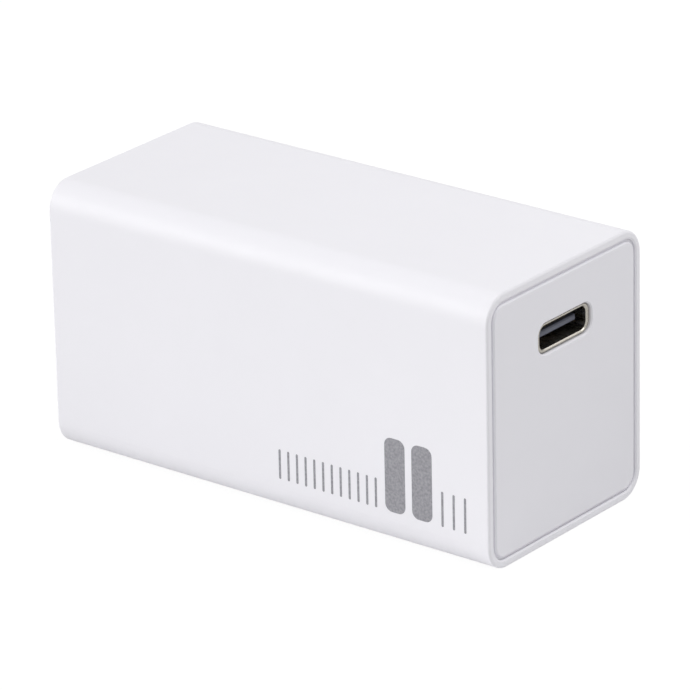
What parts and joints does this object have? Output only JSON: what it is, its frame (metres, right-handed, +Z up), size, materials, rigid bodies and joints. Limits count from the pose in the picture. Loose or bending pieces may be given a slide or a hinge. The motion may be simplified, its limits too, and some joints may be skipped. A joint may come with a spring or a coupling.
{
  "type": "laptop power adapter",
  "caption": "Block-shaped wall charger for a laptop with a folding mains plug in one end and a USB-C socket in the other.",
  "frame": {"origin": "middle of the underside, on the surface that the block stands on", "axes": "+X along the length towards the USB-C socket, the mains plug at -X; +Z up; the USB-C socket is near the top"},
  "size_m": [0.06, 0.0274, 0.0312],
  "materials": {
    "white_housing": "satin white moulded polycarbonate",
    "white_panel": "fine-grained white moulded polycarbonate",
    "carrier_plastic": "fine-grained white moulding",
    "plated_brass": "nickel-plated brass",
    "steel": "zinc-plated steel",
    "nickel_shell": "nickel-plated drawn steel",
    "black_insulator": "black moulded insulator",
    "gold_contact": "gold-plated copper alloy",
    "component_case": "moulded component case",
    "ferrite": "sintered ferrite and ceramic",
    "copper_winding": "enamelled copper wire",
    "capacitor_can": "sleeved aluminium can",
    "chip_package": "moulded epoxy",
    "insulating_film": "polyester film",
    "thermal_pad": "soft silicone pad",
    "aluminium_sheet": "mill-finish sheet",
    "circuit_board": "glass-epoxy laminate with green mask"
  },
  "bodies": {
    "charger": {"housing_sleeve": "white_housing", "port_panel": "white_panel", "plug_end_cap": "white_panel", "carrier_cover": "white_panel", "cover_screws": "steel", "detent_spring": "steel", "live_contact": "plated_brass", "neutral_contact": "plated_brass", "fuse": "component_case", "inrush_thermistor": "component_case", "x_capacitor": "component_case", "choke_core": "ferrite", "choke_windings": "copper_winding", "inductor_core": "ferrite", "inductor_winding": "copper_winding", "bulk_capacitor_1": "capacitor_can", "bulk_capacitor_2": "capacitor_can", "bulk_capacitor_3": "capacitor_can", "bridge_rectifier": "chip_package", "power_switch": "chip_package", "transformer_core": "ferrite", "transformer_bobbin": "component_case", "transformer_winding": "copper_winding", "y_capacitor": "ferrite", "optocoupler": "chip_package", "rectifier_mosfet": "chip_package", "port_controller": "chip_package", "output_capacitors": "capacitor_can", "usb_shell": "nickel_shell", "usb_tongue": "black_insulator", "usb_contacts": "gold_contact", "insulating_sheet": "insulating_film", "thermal_pads": "thermal_pad", "heat_spreader": "aluminium_sheet", "main_board": "circuit_board"},
    "folding_plug": {"blade_carrier": "carrier_plastic", "blade_live": "plated_brass", "blade_neutral": "plated_brass"}
  },
  "joints": [
    {"name": "plug_fold", "type": "hinge", "parent": "charger", "child": "folding_plug", "pos_m": [-0.0261, 0, 0.0084], "axis": [0, -1, 0], "range_deg": [0, 90], "deforming": ["detent_spring"]}
  ]
}
